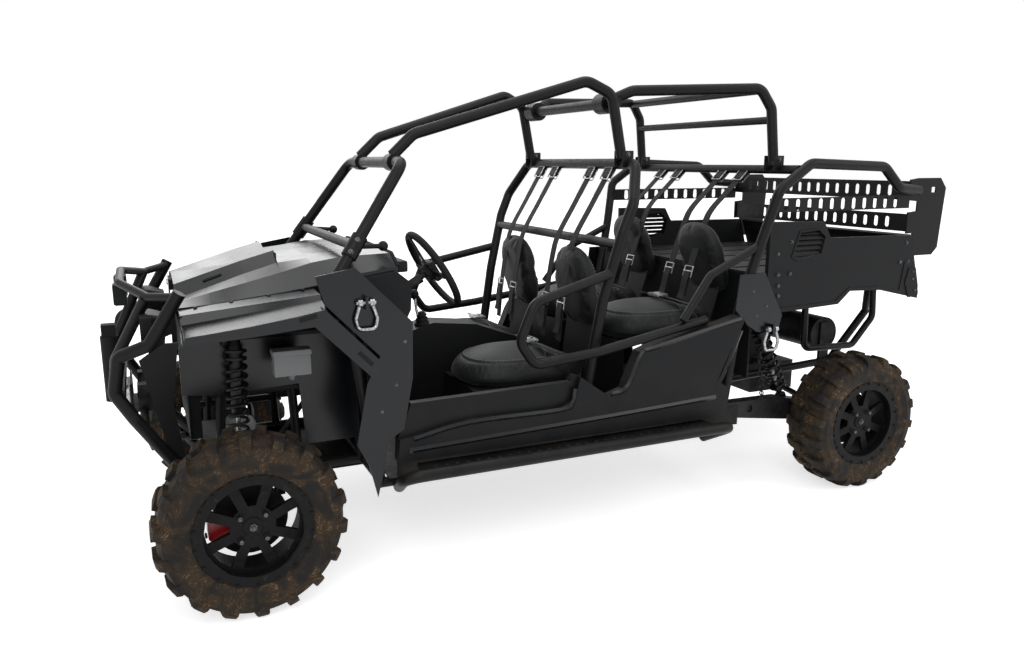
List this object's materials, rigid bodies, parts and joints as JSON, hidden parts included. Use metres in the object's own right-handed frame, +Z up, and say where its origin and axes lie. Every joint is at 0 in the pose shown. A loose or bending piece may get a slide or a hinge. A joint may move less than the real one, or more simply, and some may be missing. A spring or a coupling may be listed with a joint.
{
  "type": "side by side utility vehicle",
  "caption": "Open-frame side-by-side vehicle with seats in two rows, folding upper roll cage, cargo bed with drop tailgate, side steps and lugged tyres.",
  "frame": {"origin": "on the floor under the middle of the whole vehicle", "axes": "+X forward, +Y to the left, +Z up"},
  "size_m": [3.675, 1.548, 1.8329],
  "materials": {
    "black_tube": "satin black powder coat",
    "floor_metal": "dark coated sheet",
    "body_plastic": "glossy dark blue grey moulded body",
    "dark_plastic": "fine grained dark moulded plastic",
    "seat_fabric": "charcoal coated fabric",
    "webbing": "black woven webbing",
    "cast_metal": "dark cast metal",
    "suspension_paint": "dark blue grey paint",
    "spring_black": "black coated spring steel",
    "caliper_red": "red enamel",
    "rim_black": "matte black coat",
    "tyre_rubber": "black rubber with dried mud",
    "lamp_lens": "clear lamp lens",
    "grip": "soft black grip",
    "steel": "bare steel"
  },
  "bodies": {
    "vehicle": {"bar_lamps": "dark_plastic", "bed_rack": "black_tube", "cargo_bed": "dark_plastic", "console": "dark_plastic", "dash": "dark_plastic", "engine": "cast_metal", "fenders": "body_plastic", "firewall": "dark_plastic", "floor_pan": "floor_metal", "front_arms": "suspension_paint", "front_bumper": "black_tube", "front_frame": "black_tube", "front_seat_backs": "seat_fabric", "front_seat_cushions": "seat_fabric", "front_shocks": "spring_black", "gearcases": "cast_metal", "guide_roller": "grip", "half_shafts": "cast_metal", "harnesses": "webbing", "headlamps": "lamp_lens", "hip_bars": "black_tube", "hood": "body_plastic", "lower_frame": "black_tube", "middle_hoop": "black_tube", "muffler": "cast_metal", "radiator": "dark_plastic", "rear_calipers": "caliper_red", "rear_frame": "black_tube", "rear_hoop": "black_tube", "rear_seat_backs": "seat_fabric", "rear_seat_cushions": "seat_fabric", "rear_shocks": "spring_black", "rear_spindles": "cast_metal", "seat_bases": "dark_plastic", "shackles": "steel", "side_plates": "body_plastic", "sill_panels": "dark_plastic", "skid_plate": "floor_metal", "steering_column": "cast_metal", "steering_rack": "cast_metal", "step_bars": "black_tube", "trailing_arms": "suspension_paint", "winch": "cast_metal", "windshield_hoop": "black_tube"},
    "front_cage": {"front_upper_cage": "black_tube"},
    "rear_cage": {"rear_upper_cage": "black_tube"},
    "tailgate": {"tailgate": "dark_plastic"},
    "left_knuckle": {"front_left_knuckle": "cast_metal", "front_left_caliper": "caliper_red"},
    "right_knuckle": {"front_right_knuckle": "cast_metal", "front_right_caliper": "caliper_red"},
    "steering_wheel": {"steering_wheel": "grip"},
    "front_left_wheel": {"front_left_rim": "rim_black", "front_left_tyre": "tyre_rubber"},
    "front_right_wheel": {"front_right_rim": "rim_black", "front_right_tyre": "tyre_rubber"},
    "rear_left_wheel": {"rear_left_rim": "rim_black", "rear_left_tyre": "tyre_rubber"},
    "rear_right_wheel": {"rear_right_rim": "rim_black", "rear_right_tyre": "tyre_rubber"}
  },
  "joints": [
    {"name": "front_cage_fold", "type": "hinge", "parent": "vehicle", "child": "front_cage", "pos_m": [0.7585, 0, 1.499], "axis": [0, 1, 0], "range_deg": [0, 90]},
    {"name": "rear_cage_fold", "type": "hinge", "parent": "front_cage", "child": "rear_cage", "pos_m": [-0.1325, 0, 1.736], "axis": [0, 1, 0], "range_deg": [0, 90]},
    {"name": "tailgate_hinge", "type": "hinge", "parent": "vehicle", "child": "tailgate", "pos_m": [-1.7005, 0, 1], "axis": [0, -1, 0], "range_deg": [0, 90]},
    {"name": "left_steer", "type": "hinge", "parent": "vehicle", "child": "left_knuckle", "pos_m": [1.4075, 0.572, 0.315], "axis": [0, 0, 1], "range_deg": [-28, 28]},
    {"name": "right_steer", "type": "hinge", "parent": "vehicle", "child": "right_knuckle", "pos_m": [1.4075, -0.572, 0.315], "axis": [0, 0, 1], "range_deg": [-28, 28]},
    {"name": "steering_wheel_turn", "type": "hinge", "parent": "vehicle", "child": "steering_wheel", "pos_m": [0.6205, 0.3, 1.084], "axis": [-0.8572, 0, 0.515], "range_deg": [-336, 336]},
    {"name": "front_left_spin", "type": "hinge", "parent": "left_knuckle", "child": "front_left_wheel", "pos_m": [1.4075, 0.659, 0.315], "axis": [0, 1, 0], "continuous": true},
    {"name": "front_right_spin", "type": "hinge", "parent": "right_knuckle", "child": "front_right_wheel", "pos_m": [1.4075, -0.659, 0.315], "axis": [0, 1, 0], "continuous": true},
    {"name": "rear_left_spin", "type": "hinge", "parent": "vehicle", "child": "rear_left_wheel", "pos_m": [-1.3225, 0.644, 0.315], "axis": [0, 1, 0], "continuous": true},
    {"name": "rear_right_spin", "type": "hinge", "parent": "vehicle", "child": "rear_right_wheel", "pos_m": [-1.3225, -0.644, 0.315], "axis": [0, 1, 0], "continuous": true}
  ],
  "couplings": [
    {"joint": "right_steer", "follows": "left_steer", "ratio": 1},
    {"joint": "steering_wheel_turn", "follows": "left_steer", "ratio": 12}
  ]
}
